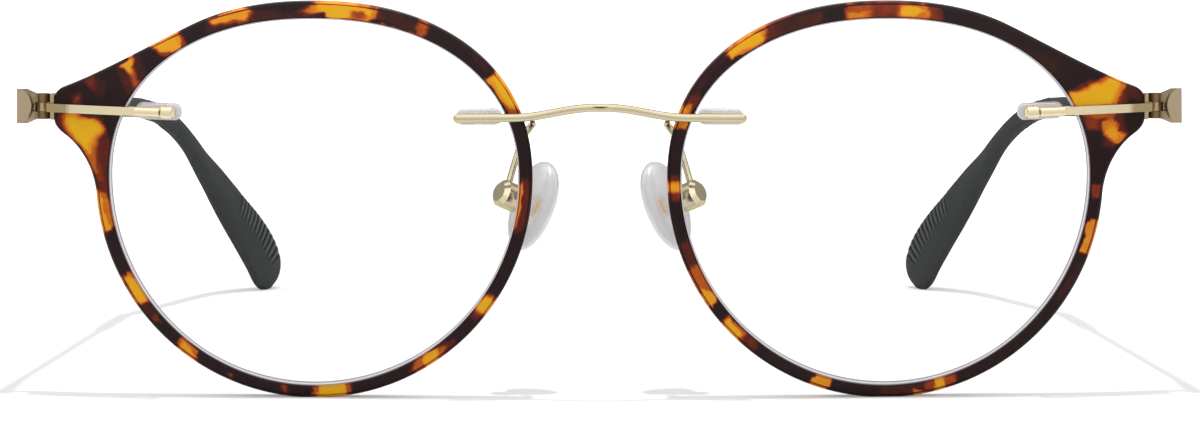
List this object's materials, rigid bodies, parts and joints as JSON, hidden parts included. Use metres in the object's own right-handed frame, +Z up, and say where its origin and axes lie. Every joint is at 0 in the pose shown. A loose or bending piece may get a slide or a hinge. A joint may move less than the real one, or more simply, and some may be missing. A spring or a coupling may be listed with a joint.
{
  "type": "eyeglasses",
  "caption": "Round glasses with tortoiseshell rims, pointed at the sides, a thin gold bridge and bars pinned through the lenses, clear nose pads and slim folding temples.",
  "frame": {"origin": "centre of the footprint on the surface that the open glasses stand on", "axes": "+X to the wearer's left, +Y from the lenses back along the temples, +Z up"},
  "size_m": [0.1384, 0.1434, 0.0469],
  "materials": {
    "tortoise_acetate": "polished tortoiseshell, near black with red brown, orange and amber patches",
    "lens_plastic": "clear, polished, with a frosted edge",
    "clear_plastic": "clear, glossy",
    "gold_metal": "pale gold, polished",
    "satin_gold_metal": "champagne, brushed",
    "dark_tip": "dark green black, satin",
    "brass_core": "amber gold, glossy",
    "pad_silicone": "clear, glossy"
  },
  "bodies": {
    "front": {"bridge": "gold_metal", "rim_left": "tortoise_acetate", "rim_right": "tortoise_acetate", "lens_left": "lens_plastic", "lens_right": "lens_plastic", "spacer_nasal_left": "clear_plastic", "spacer_nasal_right": "clear_plastic", "spacer_side_left": "clear_plastic", "spacer_side_right": "clear_plastic", "bushing_nasal_left": "clear_plastic", "bushing_nasal_right": "clear_plastic", "bushing_side_left": "clear_plastic", "bushing_side_right": "clear_plastic", "endpiece_left": "gold_metal", "endpiece_right": "gold_metal", "pad_arm_left": "gold_metal", "pad_arm_right": "gold_metal", "pad_box_left": "gold_metal", "pad_box_right": "gold_metal", "pad_screw_left": "satin_gold_metal", "pad_screw_right": "satin_gold_metal"},
    "temple_left_body": {"temple_left": "satin_gold_metal", "hinge_screw_left": "satin_gold_metal", "temple_tip_left": "dark_tip"},
    "temple_right_body": {"temple_right": "satin_gold_metal", "hinge_screw_right": "satin_gold_metal", "temple_tip_right": "dark_tip"},
    "pad_left_body": {"pad_core_left": "brass_core", "nose_pad_left": "pad_silicone"},
    "pad_right_body": {"pad_core_right": "brass_core", "nose_pad_right": "pad_silicone"}
  },
  "joints": [
    {"name": "temple_left_fold", "type": "hinge", "parent": "front", "child": "temple_left_body", "pos_m": [0.06627, -0.06095, 0.03414], "axis": [0, 0, 1], "range_deg": [0, 73]},
    {"name": "temple_right_fold", "type": "hinge", "parent": "front", "child": "temple_right_body", "pos_m": [-0.06627, -0.06095, 0.03414], "axis": [0, 0, -1], "range_deg": [0, 82]},
    {"name": "pad_left_rock", "type": "hinge", "parent": "front", "child": "pad_left_body", "pos_m": [0.0109, -0.06349, 0.02364], "axis": [0.5592, 0.829, 0], "range_deg": [-10, 10]},
    {"name": "pad_right_rock", "type": "hinge", "parent": "front", "child": "pad_right_body", "pos_m": [-0.0109, -0.06349, 0.02364], "axis": [-0.5592, 0.829, 0], "range_deg": [-10, 10]}
  ]
}
